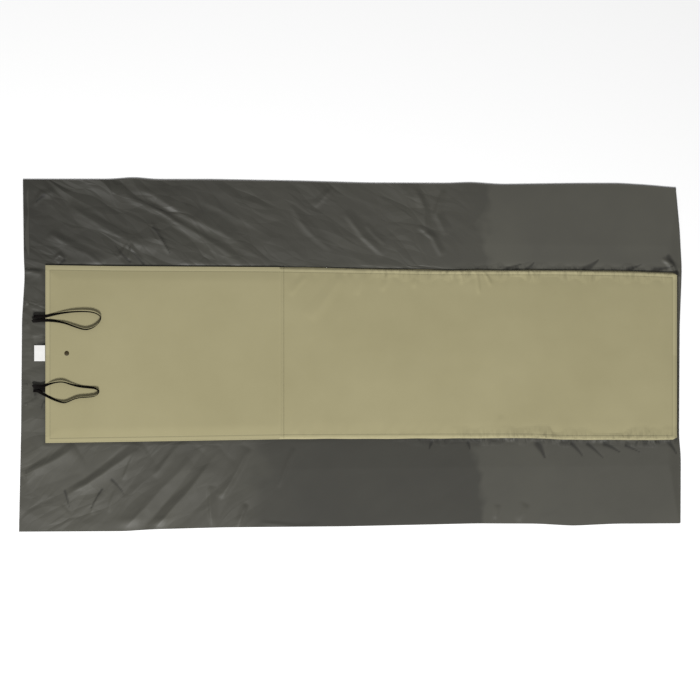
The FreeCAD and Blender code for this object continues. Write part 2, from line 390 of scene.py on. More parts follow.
def gatherShare(x, y):
    # how strongly the cloth is gathered by the sleeve's seams, along them
    start = np.where(y > 0, 0.42, 0.24)
    uneven = 0.62 + 0.5 * noise(x, np.sign(y) * 3.1, 0.09, 21)
    return smooth((x - start + 0.14) / 0.18) * np.clip(uneven, 0, 1) * smooth((footX + 0.01 - x) / 0.01)


def wingShare(v):
    # rows gathered in the two wings, where the cloth is seen
    sleeveShare = 0.47
    c = (1 - underside["wingRows"]) / 2
    return np.interp(v, [0, 0.5 - c, 0.5 + c, 1],
                     [0, 0.5 - sleeveShare / 2, 0.5 + sleeveShare / 2, 1])


def placeLaid(u, v):
    x, y = sackPoint(u, wingShare(v))
    return x, y, undersideHeight(x, y)


def meshPoints(mesh):
    points = np.zeros(len(mesh.vertices) * 3, np.float32)
    mesh.vertices.foreach_get("co", points)
    return points.reshape(-1, 3).astype(float)


def settleCloth():
    # lets the laid cloth settle under its own weight, held where it is sewn or weighed down;
    # gives how far each point of a coarse grid moves
    plan = underside["settle"]
    cloth = gridPiece("settling", plan["columns"], plan["rows"], placeLaid)
    start = meshPoints(cloth.data)
    x, y = start[:, 0], start[:, 1]
    half = headHalf - sackTaper * (x - headX)
    edge = np.minimum(half - np.abs(y), footX - x) < 0.010
    held = edge | (coveredShare(x, y) > 0.5) | (x < headX + 0.030)
    group = cloth.vertex_groups.new(name="held")
    group.add([int(i) for i in np.nonzero(held)[0]], 1.0, "REPLACE")
    bed = gridPiece("bed", 90, 60, lambda u, v: (*sackPoint(u, v), baseHeight(*sackPoint(u, v)) - 2.0e-3))
    bed.modifiers.new("collision", "COLLISION")
    bed.collision.thickness_outer = 0.5e-3
    modifier = cloth.modifiers.new("cloth", "CLOTH")
    settings = modifier.settings
    settings.quality = 4
    settings.mass = 0.02
    settings.tension_stiffness = settings.compression_stiffness = 12.0
    settings.shear_stiffness = 6.0
    settings.bending_stiffness = 4.0
    settings.air_damping = 2.0
    settings.vertex_group_mass = "held"
    modifier.collision_settings.distance_min = 1.0e-3
    modifier.collision_settings.collision_quality = 2
    modifier.point_cache.frame_start = 1
    modifier.point_cache.frame_end = plan["frames"]
    for step in range(1, plan["frames"] + 1):
        scene.frame_set(step)
    depsgraph = bpy.context.evaluated_depsgraph_get()
    moved = meshPoints(cloth.evaluated_get(depsgraph).to_mesh()) - start
    far = np.linalg.norm(moved, axis=1)
    moved *= np.minimum(1, plan["farthest"] / np.maximum(far, 1e-9))[:, None]
    for temporary in (cloth, bed):
        bpy.data.objects.remove(temporary)
    scene.frame_set(1)
    print(f"cloth settled: moved {far.mean() * 1000:.2f} mm on average, {far.max() * 1000:.1f} mm at most")
    moved = moved.reshape(plan["rows"] + 1, plan["columns"] + 1, 3)
    for _ in range(plan["softening"]):  # keeps the settling and drops the grid's own jitter
        for axis in (0, 1):
            pad = np.pad(moved, [(1, 1) if k == axis else (0, 0) for k in range(3)], mode="edge")
            moved = (np.take(pad, range(pad.shape[axis] - 2), axis) + 2 * moved
                     + np.take(pad, range(2, pad.shape[axis]), axis)) / 4
    return moved


def gridSample(grid, u, v):
    # a smooth reading of a grid at (u, v), by cubic weights both ways
    rows, columns = grid.shape[0] - 1, grid.shape[1] - 1
    out = np.zeros((len(u), 3))

    def weights(share, count):
        at = np.clip(share, 0, 1) * count
        low = np.minimum(np.floor(at).astype(int), count - 1)
        t = at - low
        curve = (-t / 2 + t ** 2 - t ** 3 / 2, 1 - 2.5 * t ** 2 + 1.5 * t ** 3,
                 t / 2 + 2 * t ** 2 - 1.5 * t ** 3, (t ** 3 - t ** 2) / 2)
        return [(np.clip(low + k - 1, 0, count), w) for k, w in enumerate(curve)]

    for row, rowWeight in weights(v, rows):
        for column, columnWeight in weights(u, columns):
            out += grid[row, column] * (rowWeight * columnWeight)[:, None]
    return out


def makeUnderside(material):
    moved = settleCloth()

    def place(u, v):
        x, y, z = placeLaid(u, v)
        if moved is not None:
            shift = gridSample(moved, u, v) * (1 - coveredShare(x, y))[:, None]
            x, y, z = x + shift[:, 0], y + shift[:, 1], z + shift[:, 2]
        return x, y, np.maximum(z, underside["edgeZ"] * 0.9)

    piece = gridPiece("undersidePanel", underside["columns"], underside["rows"], place)
    piece.data.materials.append(material)
    markNylon(piece)
    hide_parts("underside_panel")
    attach(piece, "sack")
    print("underside panel laid:", len(piece.data.polygons), "faces")


def addAttribute(piece, name, values):
    kind = "FLOAT_VECTOR" if values.ndim == 2 else "FLOAT"
    attribute = piece.data.attributes.new(name, kind, "POINT")
    attribute.data.foreach_set("vector" if values.ndim == 2 else "value", values.astype(np.float32).ravel())


# painted light and shade: how much lighter or darker the coating is drawn along each wing
nylonPaintedShading = dict(  # how light the coating looks along each wing
    left=([-1.09, -0.90, -0.50, -0.10, 0.30, 0.44, 0.47, 1.09],
          [0.68, 0.74, 0.88, 1.00, 1.08, 1.08, 1.44, 1.44]),
    right=([-1.09, -0.60, -0.36, -0.26, 0.00, 0.41, 0.44, 1.09],
           [1.24, 1.20, 1.12, 0.80, 0.74, 0.76, 1.16, 1.18]),
)


def markNylon(piece):
    # what the coated nylon's pattern reads: its crease directions, creasing, gathers, and a tone that carries
    # painted light and shade
    points = meshPoints(piece.data)
    x, y = points[:, 0], points[:, 1]
    a = np.radians(np.interp(y, [-0.30, 0.30], [42.0, -29.0]))
    wx, wy = x + 1.06 + 0.02 * noise(x, y, 0.14, 71), y + 0.02 * noise(x, y, 0.14, 72)
    along, across = wx * np.cos(a) + wy * np.sin(a), wy * np.cos(a) - wx * np.sin(a)
    addAttribute(piece, "crease", np.stack((along, across, np.zeros_like(x)), axis=1))
    addAttribute(piece, "crumple", crumpleShare(x, y) * (0.35 + 0.65 * smooth(0.5 + noise(x, y, 0.16, 73))))
    out = -sleeveIn(x, y)
    reach = 0.012 + 0.014 * smooth(0.5 + noise(x, np.sign(y) * 2.0, 0.05, 74))
    near = np.clip(1 - (out - 0.001) / reach, 0, 1)
    addAttribute(piece, "gather", near * gatherShare(x, y) * (out > -0.012))
    # painted light and shade: broad zones of the coating drawn lighter or darker along each wing and across
    # the middle strip, with a ragged edge between them
    ragged = x + 0.040 * noise(x, y, 0.10, 75) + 0.014 * noise(x, y, 0.03, 76)
    leftPaintedShading, rightPaintedShading = (np.interp(ragged, *nylonPaintedShading[wing]) for wing in ("left", "right"))
    strip = smooth((0.33 - np.abs(y)) / 0.06)
    leftPaintedShading, rightPaintedShading = leftPaintedShading * (1 + 0.20 * strip), rightPaintedShading * (1 - 0.09 * strip)
    tone = rightPaintedShading + (leftPaintedShading - rightPaintedShading) * smooth((y + 0.12) / 0.40)
    # the tone also carries painted shade in the short creases
    addAttribute(piece, "tone", tone * (1 - underside["pleatPaintedShade"] * pleatShare(x, y)) - 1)


# ---- cover panel, seams and mouth hems

cover = dict(columns=200, rows=110, thickness=0.7e-3, restZ=0.9e-3)


def placeCover(u, v):
    x, y = sackPoint(u, v)
    z = cover["restZ"] + 0.2e-3 * noise(x, y, 0.05, 31) * smooth((0.50 - np.abs(y)) / 0.05)
    return x, y, z


def makeCover(material):
    piece = gridPiece("coverPanel", cover["columns"], cover["rows"], placeCover)
    piece.data.materials.append(material)
    thicken(piece, cover["thickness"])
    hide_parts("cover_panel")
    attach(piece, "sack")


sackSeam = dict(radius=1.5e-3, along=400, around=8)


def makeSeam(name, node, edge, material):
    # a rolled seam along one edge of the sack; edge gives (u, v) from a share of its length
    def place(u, v):
        x, y = sackPoint(*edge(u))
        turn = 2 * np.pi * v
        order = np.argsort(u, kind="stable")
        length = np.hypot(x[order[-1]] - x[order[0]], y[order[-1]] - y[order[0]])
        ax, ay = (x[order[-1]] - x[order[0]]) / length, (y[order[-1]] - y[order[0]]) / length
        r = sackSeam["radius"]
        z = r + cover["restZ"] * 0.4
        return x + r * np.cos(turn) * ay, y - r * np.cos(turn) * ax, z + r * np.sin(turn)

    piece = gridPiece(name, sackSeam["along"], sackSeam["around"], place)
    bm = bmesh.new()
    bm.from_mesh(piece.data)
    bmesh.ops.remove_doubles(bm, verts=bm.verts, dist=1e-5)
    bmesh.ops.holes_fill(bm, edges=[e for e in bm.edges if e.is_boundary], sides=0)
    bmesh.ops.recalc_face_normals(bm, faces=bm.faces)
    bm.to_mesh(piece.data)
    bm.free()
    piece.data.shade_smooth()
    piece.data.materials.append(material)
    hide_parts(node)
    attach(piece, "sack")


def makeSackEdges(material):
    makeSeam("leftSideSeam", "left_side_seam", lambda u: (u, np.ones_like(u)), material)
    makeSeam("rightSideSeam", "right_side_seam", lambda u: (u, np.zeros_like(u)), material)
    makeSeam("footSeam", "foot_seam", lambda u: (np.ones_like(u), u), material)
    # the mouth's two hems, each turned to the inside of the sack
    hemShare = 20e-3 / (footX - headX)

    def placeUpper(u, v):
        x, y = sackPoint(u * hemShare, 0.012 + v * 0.976)
        return x, y, undersideHeight(x, y) - 0.3e-3

    def placeLower(u, v):
        x, y, z = placeCover(u * hemShare, 0.012 + v * 0.976)
        return x, y, z + 0.9e-3

    for name, place, node in (("undersideMouthHem", placeUpper, "underside_mouth_hem"),
                              ("coverMouthHem", placeLower, "cover_mouth_hem")):
        piece = gridPiece(name, 6, 160, place)
        piece.data.materials.append(material)
        thicken(piece, 0.8e-3)
        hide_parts(node)
        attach(piece, "sack")
    print("sack seams and hems made")


# ---- mat sleeve: the flap over its head end, and the panel sewn down over the rest

sleeve = dict(
    panelColumns=328, flapColumns=200, rows=120, thickness=0.9e-3,
    hem=18e-3, innerStitch=15.5e-3, outerStitch=3.5e-3, groove=0.9e-3, grooveHalf=1.6e-3,
    sewnEdgeZ=11.0e-3, flapEdgeZ=13.4e-3, restZ=16.6e-3, headEdgeZ=14.6e-3,
    folds=[
        ([(-0.15, 0.262), (-0.18, 0.235), (-0.205, 0.2)], 0.0016, 0.012, 0.02),
        ([(-0.025, 0.27), (-0.075, 0.2), (-0.135, 0.12)], 0.002, 0.022, 0.03),
        ([(0.366, 0.284), (0.372, 0.24)], 0.0034, 0.006, 0.009),
        ([(0.414, 0.28), (0.428, 0.205)], 0.0026, 0.006, 0.011),
        ([(0.44, 0.28), (0.47, 0.232)], 0.003, 0.008, 0.007),
        ([(0.23, 0.284), (0.215, 0.225)], 0.0022, 0.008, 0.014),
        ([(0.14, 0.284), (0.11, 0.215)], 0.0018, 0.01, 0.016),
        ([(0.05, 0.284), (0.02, 0.2)], 0.0016, 0.01, 0.02),
        ([(0.48, -0.262), (0.505, -0.2)], 0.0012, 0.012, 0.018),
    ],
)


def hemMark(e):
    # the two grooves that the hem's stitching draws into it
    inner = bell(e - sleeve["innerStitch"], sleeve["grooveHalf"])
    outer = bell(e - sleeve["outerStitch"], sleeve["grooveHalf"] * 0.8)
    body = 0.35e-3 * smooth(e / 0.003) * smooth((sleeve["hem"] + 0.001 - e) / 0.003)
    return body - sleeve["groove"] * (0.8 * inner + 0.4 * outer)


def panelHeight(x, y):
    # upper face of the panel that is sewn down
    side = sleeveIn(x, y)
    foot = sleeveFootX - x
    e = np.minimum(side, foot)
    fall = 0.70 * smooth((e + 0.004) / 0.012) + 0.30 * smooth((e + 0.004) / 0.060)
    z = sleeve["sewnEdgeZ"] + (sleeve["restZ"] - sleeve["sewnEdgeZ"]) * fall
    z = z + hemMark(e)
    wx = x + 0.008 * noise(x, y, 0.1, 41)
    for points, height, left, right in sleeve["folds"]:
        z = z + tent(wx, y, points, height, left, right)
    z = z + 0.9e-3 * noise(x, y, 0.22, 42) + 0.35e-3 * noise(x, y, 0.07, 43)
    # puckers along the sewn sides, more of them towards the foot
    drawn = noise(x + 0.3 * side * np.sign(y), np.sign(y) * 4.0 + side * 0.3, 0.012, 44)
    wide = noise(x - 0.5 * side, np.sign(y) * 7.0 + side * 0.2, 0.035, 45)
    tall = 0.6 + 0.4 * noise(x, np.sign(y) * 2.0, 0.11, 46)
    start = smooth((x - seamX - 0.01) / 0.05)
    z = z + (drawn * 1.5e-3 * bell(side - 0.012, 0.016)
             + wide * 1.5e-3 * bell(side - 0.022, 0.024)) * tall * start
    low = 9.4e-3 + sleeve["thickness"] + 0.5e-3
    return np.maximum(z, low)


def flapHeight(x, y):
    # upper face of the flap: flat, with firm free edges
    side = sleeveIn(x, y)
    head = x - flapX
    e = np.minimum(side, head)
    rest = sleeve["restZ"] + 0.3e-3
    near = smooth((0.19 - np.abs(y)) / 0.06)
    headEdge = sleeve["headEdgeZ"] + (rest - sleeve["headEdgeZ"]) * near
    z = sleeve["flapEdgeZ"] + (rest - sleeve["flapEdgeZ"]) * smooth((side + 0.004) / 0.055)
    z = np.minimum(z, headEdge + (rest - headEdge) * smooth(head / 0.05))
    z = z + hemMark(e) + 0.35e-3 * noise(x, y, 0.25, 51) + 0.10e-3 * noise(x, y, 0.06, 52)
    # the allowance that lies over the panel, past the bend
    over = smooth((x - seamX + 0.004) / 0.004)
    return z * (1 - over) + (panelHeight(x, y) + 1.15e-3) * over


def rowShare(v):
    # rows gathered in the two hems
    hemRows, hemShare = 0.17, 0.045
    return np.interp(v, [0, hemRows, 1 - hemRows, 1], [0, hemShare, 1 - hemShare, 1])


def headShare(u):
    # columns gathered in the flap's head hem and at the cross seam
    return np.interp(u, [0, 0.09, 0.93, 1], [0, 0.027, 0.965, 1])


def placePanel(u, v):
    x = seamX + (sleeveFootX - seamX) * np.interp(u, [0, 0.965, 1], [0, 0.985, 1])
    v = rowShare(v) * 2 - 1
    y = sleeveY(x, v)
    # the seam's own slight wander, and the drawn corners at the foot
    wander = 1.3e-3 * noise(x, np.sign(y) * 9, 0.10, 47) * smooth((x - seamX) / 0.1)
    y = y + wander * np.abs(v) ** 8
    corner = smooth((x - sleeveFootX + 0.016) / 0.016) * 0.007
    y = y - np.sign(v) * corner * np.abs(v) ** 10
    z = panelHeight(x, y)
    return x, y, z


def placeFlap(u, v):
    x = flapX + (seamX + 12e-3 - flapX) * headShare(u)
    y = sleeveY(x, rowShare(v) * 2 - 1)
    return x, y, flapHeight(x, y)


def bendAtHinge(piece):
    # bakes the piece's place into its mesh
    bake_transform(piece)


def markHems(piece, distance):
    # how much of a hem each point has, which the cloth's colour reads
    points = np.zeros(len(piece.data.vertices) * 3, np.float32)
    piece.data.vertices.foreach_get("co", points)
    e = distance(points[0::3], points[1::3])
    mark = smooth((sleeve["innerStitch"] - e) / 0.002) * np.where(points[1::3] > 0, 1.0, 0.4)
    addAttribute(piece, "hem", mark)
    addAttribute(piece, "stitchLine", bell(e - sleeve["innerStitch"], 0.0013))


def markGathers(piece):
    # how strongly the sewn panel is gathered, beside its long seams
    points = meshPoints(piece.data)
    x, y = points[:, 0], points[:, 1]
    side = sleeveIn(x, y)
    reach = 0.020 + 0.022 * smooth(0.5 + noise(x, np.sign(y) * 5.0, 0.06, 48))
    near = np.clip(1 - (side - 0.003) / reach, 0, 1) * smooth(side / 0.004)
    start = np.where(y > 0, 0.02, 0.30)
    along = smooth((x - start) / 0.12) * np.clip(0.65 + 0.5 * noise(x, np.sign(y) * 2.0, 0.11, 46), 0, 1)
    addAttribute(piece, "gather", near * along)


def makeSleeve(material):
    panel = gridPiece("sleevePanel", sleeve["panelColumns"], sleeve["rows"], placePanel)
    panel.data.materials.append(material)
    thicken(panel, sleeve["thickness"])
    markHems(panel, lambda x, y: np.minimum(sleeveIn(x, y), sleeveFootX - x))
    markGathers(panel)
    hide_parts("sleeve_panel", "sleeve_left_seam", "sleeve_right_seam",
                "sleeve_foot_seam", "sleeve_mouth_hem")
    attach(panel, "sack")
    flap = gridPiece("sleeveFlap", sleeve["flapColumns"], sleeve["rows"], placeFlap)
    flap.data.materials.append(material)
    thicken(flap, sleeve["thickness"])
    markHems(flap, lambda x, y: np.minimum(sleeveIn(x, y), x - flapX))
    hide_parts("sleeve_flap", "cross_seam")
    bendAtHinge(flap)

    # the hems turned under the flap's free edges
    def hemStrip(name, node, columns, rows, place):
        piece = gridPiece(name, columns, rows, place)
        piece.data.materials.append(material)
        thicken(piece, sleeve["thickness"])
        markHems(piece, lambda x, y: np.full_like(x, 1.0))
        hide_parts(node)
        bendAtHinge(piece)

    below = sleeve["thickness"] + 0.05e-3

    def placeHeadHem(u, v):
        x = flapX + 0.3e-3 + u * sleeve["hem"]
        y = sleeveY(x, (v * 2 - 1) * 0.9985)
        return x, y, flapHeight(x, y) - below

    def placeSideHem(side):
        def place(u, v):
            x = flapX + sleeve["hem"] + 0.5e-3 + u * (seamX - flapX - sleeve["hem"] - 1e-3)
            e = 0.4e-3 + (v if side < 0 else 1 - v) * sleeve["hem"]
            y = sleeveY(x, side) - side * e
            return x, y, flapHeight(x, y) - below
        return place

    hemStrip("flapHeadHem", "flap_head_hem", 12, 150, placeHeadHem)
    hemStrip("flapLeftHem", "flap_left_hem", 190, 12, placeSideHem(1))
    hemStrip("flapRightHem", "flap_right_hem", 190, 12, placeSideHem(-1))
    print("mat sleeve laid:", len(panel.data.polygons) + len(flap.data.polygons), "faces")


# ---- lockstitch rows

stitch = dict(pitch=4.2e-3, length=3.2e-3, radius=0.45e-3, stand=0.05e-3)


def stitchRow(bm, xs, ys, height):
    # one row of thread through plan points a stitch apart, sitting on the cloth
    size = Matrix.Diagonal((stitch["length"] / 2, stitch["radius"], stitch["radius"], 1))
    turns = np.arctan2(np.gradient(ys), np.gradient(xs))
    for x, y, z, angle in zip(xs, ys, height(xs, ys) + stitch["stand"], turns):
        place = Matrix.Translation((x, y, z)) @ Matrix.Rotation(angle, 4, "Z") @ size
        bmesh.ops.create_icosphere(bm, subdivisions=1, radius=1, matrix=place)


def alongSide(x0, x1, side, e):
    # plan points for a row beside one long edge
    xs = np.linspace(x0, x1, round((x1 - x0) / stitch["pitch"]))
    return xs, sleeveY(xs, side) - side * e


def acrossSleeve(x, e):
    # plan points for a row straight across
    y0, y1 = float(sleeveY(x, -1)) + e, float(sleeveY(x, 1)) - e
    ys = np.linspace(y0, y1, round((y1 - y0) / stitch["pitch"]))
    return np.full_like(ys, x), ys


def makeStitches(material):
    inner, outer = sleeve["innerStitch"], sleeve["outerStitch"]
    flapRows = [alongSide(flapX + e, seamX - 1e-3, side, e) for e in (inner, outer) for side in (1, -1)]
    flapRows += [acrossSleeve(flapX + e, e) for e in (inner, outer)]
    panelRows = [alongSide(seamX + 13e-3, sleeveFootX - inner, side, e)
                 for e in (inner, outer) for side in (1, -1)]
    crossRows = [acrossSleeve(seamX + e, 2e-3) for e in (3e-3, 9e-3)]
    for name, height, rows in (("flapStitches", flapHeight, flapRows),
                               ("sleeveStitches", panelHeight, panelRows),
                               ("crossSeamStitches", flapHeight, crossRows)):
        bm = bmesh.new()
        for xs, ys in rows:
            row = bmesh.new()
            stitchRow(row, xs, ys, height)
            made = bpy.data.meshes.new("row")
            row.to_mesh(made)
            row.free()
            bm.from_mesh(made)
            bpy.data.meshes.remove(made)
        piece = finishPiece(name, bm, material)
        if name == "flapStitches":
            bendAtHinge(piece)
        else:
            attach(piece, "sack")
    print("stitched")


# ---- elastic loops: flat tape, flat at the fold and on edge where it lies over the flap

loopHinge = next(j for j in frame["joints"] if j["name"] == "left_loop_swing")["pos_m"]
foldX = loopHinge[0]
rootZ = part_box("left_loop_root")[0][2] + 0.6e-3
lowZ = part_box("left_loop_band")[0][2] + 0.6e-3
edgeZ = lowZ + 7.4e-3
loopTape = dict(width=10e-3, thickness=1.2e-3, tuck=0.052, strand=6e-3)
leftLoop = dict(
    y=0.124, length=0.59, body="left_loop", turns=(0.0012, 0.0058), spread=(0.0006, -0.0042), roll=(68, -112),
    route=[(0.034, 0.005), (0.072, 0.0145), (0.116, 0.021), (0.162, 0.0235), (0.203, 0.02),
           (0.226, 0.004), (0.216, -0.018), (0.196, -0.0325), (0.17, -0.039), (0.136, -0.028),
           (0.1, -0.014), (0.062, -0.0075), (0.026, -0.0065)],
    lean=[78, 48, 30, 22, 20, 16, 6, -12, -22, -24, -34, -56, -80],
)
rightLoop = dict(
    y=-0.11, length=0.575, body="right_loop", turns=(0.005, 0.002), spread=(0.0014, -0.002), roll=(112, -72),
    route=[(0.028, 0.006), (0.058, 0.018), (0.094, 0.0235), (0.12, 0.0145), (0.153, 0.0065),
           (0.184, 0.004), (0.206, 0.001), (0.219, -0.011), (0.207, -0.026), (0.178, -0.029),
           (0.142, -0.031), (0.109, -0.0465), (0.097, -0.048), (0.07, -0.0385),
           (0.042, -0.0245), (0.02, -0.0125)],
    lean=[78, 30, 20, 34, 50, 54, 40, 12, -14, -22, -20, -22, -30, -50, -62, -82],
)


def loopCurve(loop, solid):
    # control points from the hem out, over the fold, round the loop and back
    y, side = loop["y"], loopTape["strand"]

    def root(strand):
        across = side if strand == 0 else -side
        out, bunched = -loop["turns"][strand], across + loop["spread"][strand]
        flat, rolled = 90 if strand == 0 else -90, loop["roll"][strand]
        return [(loopTape["tuck"], across, rootZ, flat), (0.024, across, rootZ, flat),
                (out, bunched, rootZ, rolled), (out, bunched, lowZ, rolled),
                (0.012, across + loop["spread"][strand] * 0.7, lowZ, flat)]

    start, end = root(0), list(reversed(root(1)))
    middle = []
    for (x, across), tilt in zip(loop["route"], loop["lean"]):
        upright = math.cos(math.radians(tilt)) ** 2
        lift = 0.75 + 0.25 * float(smooth(across / 0.02))  # the left strand stands higher off the flap
        middle.append((x, across, lowZ + (edgeZ - lowZ) * upright * lift, tilt))
    points = start + middle + end
    curve = bpy.data.curves.new("tape", "CURVE")
    curve.dimensions = "3D"
    curve.twist_mode = "MINIMUM"
    curve.resolution_u = 8
    spline = curve.splines.new("NURBS")
    spline.points.add(len(points) - 1)
    for point, (x, across, z, tilt) in zip(spline.points, points):
        point.co = (foldX + x, y + across, z, 1)
        point.tilt = math.radians(tilt)
    spline.order_u = 3
    spline.use_endpoint_u = True
    if solid:
        curve.extrude = (loopTape["width"] - loopTape["thickness"]) / 2
        curve.bevel_depth = loopTape["thickness"] / 2
        curve.bevel_resolution = 2
        curve.use_fill_caps = True
    holder = bpy.data.objects.new("tape", curve)
    scene.collection.objects.link(holder)
    depsgraph = bpy.context.evaluated_depsgraph_get()
    mesh = bpy.data.meshes.new_from_object(holder.evaluated_get(depsgraph))
    bpy.data.objects.remove(holder)
    bpy.data.curves.remove(curve)
    return mesh


def makeLoop(name, loop, material):
    path = [tuple(v.co) for v in loopCurve(loop, False).vertices]
    mesh = loopCurve(loop, True)
    bm = bmesh.new()
    bm.from_mesh(mesh)
    bmesh.ops.remove_doubles(bm, verts=bm.verts, dist=1e-6)
    bmesh.ops.recalc_face_normals(bm, faces=bm.faces)
    piece = finishPiece(name, bm, material)
    side = loop["body"]
    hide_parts(f"{side}_root", f"{side}_fold", f"{side}_band")
    total = sum(math.dist(a, b) for a, b in zip(path, path[1:]))
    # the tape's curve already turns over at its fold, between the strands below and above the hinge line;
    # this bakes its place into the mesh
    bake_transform(piece)
    print(f"{name}: {total:.3f} m of tape")


# ---- press stud

stud = dict(segments=40, under=0.7e-3)


def spinProfile(name, profile, centre, material):
    # a closed round part from its profile, (radius, height) from the axis out and back
    bm = bmesh.new()
    verts = [bm.verts.new((r, 0, z)) for r, z in profile]
    edges = [bm.edges.new(pair) for pair in zip(verts, verts[1:])]
    bmesh.ops.spin(bm, geom=verts + edges, cent=(0, 0, 0), axis=(0, 0, 1),
                   angle=math.tau, steps=stud["segments"], use_merge=True, use_duplicate=False)
    bmesh.ops.remove_doubles(bm, verts=bm.verts, dist=1e-6)
    bmesh.ops.holes_fill(bm, edges=[e for e in bm.edges if e.is_boundary], sides=0)
    bmesh.ops.recalc_face_normals(bm, faces=bm.faces)
    bmesh.ops.translate(bm, verts=bm.verts, vec=centre)
    return finishPiece(name, bm, material)


def makePressStud(enamel, brass):
    low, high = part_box("snap_cap")
    x, y = (low[0] + high[0]) / 2, (low[1] + high[1]) / 2
    radius = (high[0] - low[0]) / 2
    top = high[2]
    face = float(flapHeight(np.array([x]), np.array([y]))[0])
    dome = top - face
    # the cap: a rolled rim, a shallow groove and a low dome
    profile = [(0, top), (radius * 0.35, top - dome * 0.03), (radius * 0.62, top - dome * 0.14),
               (radius * 0.74, top - dome * 0.28), (radius * 0.78, top - dome * 0.36),
               (radius * 0.84, top - dome * 0.34), (radius * 0.93, top - dome * 0.42),
               (radius * 0.99, top - dome * 0.62), (radius, top - dome * 0.85),
               (radius * 0.97, face - 0.1e-3), (radius * 0.6, face - 0.25e-3), (0, face - 0.25e-3)]
    cap = spinProfile("snapCap", profile, (x, y, 0), enamel)
    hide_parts("snap_cap")
    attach(cap, "flap")
    # the socket under the flap: a rolled lip and a groove for its ring spring
    low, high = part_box("snap_socket")
    r, z0, z1 = (high[0] - low[0]) / 2, low[2], high[2] - 1.0e-3
    tall = z1 - z0
    profile = [(0, z1), (r * 0.9, z1), (r, z1 - tall * 0.12), (r, z1 - tall * 0.3),
               (r * 0.9, z1 - tall * 0.42), (r * 0.9, z1 - tall * 0.6), (r * 0.97, z1 - tall * 0.75),
               (r * 0.93, z0 + 0.1e-3), (r * 0.84, z0), (r * 0.74, z0 + 0.2e-3),
               (r * 0.68, z0 + tall * 0.4), (r * 0.68, z1 - 0.5e-3), (0, z1 - 0.5e-3)]
    socket = spinProfile("snapSocket", profile, (x, y, 0), brass)
    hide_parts("snap_socket")
    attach(socket, "flap")
    # the stud on the underside panel, with its waist, and the post's washer behind the cloth
    low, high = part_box("snap_stud")
    r, z0, z1 = (high[0] - low[0]) / 2, low[2] - 0.6e-3, high[2]
    neck = 3.6e-3
    profile = [(0, z0), (r, z0), (r, z0 + 0.7e-3), (r * 0.92, z0 + 1.1e-3), (neck * 1.15, z0 + 1.3e-3),
               (neck * 0.84, z0 + 2.0e-3), (neck * 0.86, z1 - 1.9e-3), (neck, z1 - 1.3e-3),
               (neck * 0.96, z1 - 0.6e-3), (neck * 0.7, z1 - 0.1e-3), (neck * 0.35, z1),
               (neck * 0.3, z1 - 0.5e-3), (0, z1 - 0.5e-3)]
    male = spinProfile("snapStud", profile, (x, y, 0), brass)
    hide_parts("snap_stud")
    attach(male, "sack")
    z1 = underside["restZ"] - stud["under"]
    profile = [(0, z1 - 0.9e-3), (r * 0.9, z1 - 0.9e-3), (r, z1 - 0.6e-3), (r, z1 - 0.1e-3), (0, z1 - 0.1e-3)]
    post = spinProfile("snapPost", profile, (x, y, 0), brass)
    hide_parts("snap_post")
    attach(post, "sack")
    print("press stud made")


# ---- care label

label = dict(columns=40, rows=36, thickness=0.35e-3, clothZ=10.45e-3)


def makeLabel(material):
    low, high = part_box("care_label")

    def place(u, v):
        # out from under the hem, down to the cloth, and along it with a slight curl
        x = high[0] + (low[0] - high[0]) * u
        y = low[1] + (high[1] - low[1]) * v
        drop = smooth(u / 0.42)
        rest = label["clothZ"] + label["thickness"]
        z = (high[2] - 0.5e-3) * (1 - drop) + rest * drop
        curl = 0.9e-3 * smooth((u - 0.55) / 0.45) ** 2 + 0.35e-3 * noise(x, y, 0.02, 61) * drop
        return x, y, z + np.maximum(curl, 0)

    piece = gridPiece("careLabel", label["columns"], label["rows"], place)
    bm = bmesh.new()
    bm.from_mesh(piece.data)
    bmesh.ops.reverse_faces(bm, faces=bm.faces)
    bm.to_mesh(piece.data)
    bm.free()
    piece.data.materials.append(material)
    thicken(piece, label["thickness"])
    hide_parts("care_label")
    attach(piece, "care_label")
    print("label made")


# ---- materials

def weave(tree, coords, pitch, depth, strength):
    # crossed threads as a bump; pitch is the spacing drawn, in metres
    waves = [addNode(tree, "TexWave", {"bands_direction": axis},
                     {"Scale": 0.314 / pitch / 2, "Distortion": 0.4, "Detail": 1.0},
                     {"Vector": coords}).outputs["Fac"] for axis in ("X", "Y")]
    return addBump(tree, product(tree, *waves), depth, None, strength)


def stretched(tree, vector, scale):
    return addNode(tree, "VectorMath", {"operation": "MULTIPLY"}, {1: scale}, {0: vector}).outputs[0]


def product(tree, one, other):
    return addNode(tree, "Math", {"operation": "MULTIPLY"}, None, {0: one, 1: other}).outputs[0]


def addBump(tree, height, depth, before=None, strength=1.0):
    links = {"Height": height}
    if before:
        links["Normal"] = before
    return addNode(tree, "Bump", None, {"Distance": depth, "Strength": strength}, links).outputs["Normal"]


def ramp(tree, factor, low, high, at=(0.0, 1.0)):
    # a colour between two, by a factor
    node = addNode(tree, "ValToRGB", None, None, {"Fac": factor})
    for element, place, colour in zip(node.color_ramp.elements, at, (low, high)):
        element.position, element.color = place, srgb(colour)
    return node.outputs["Color"]


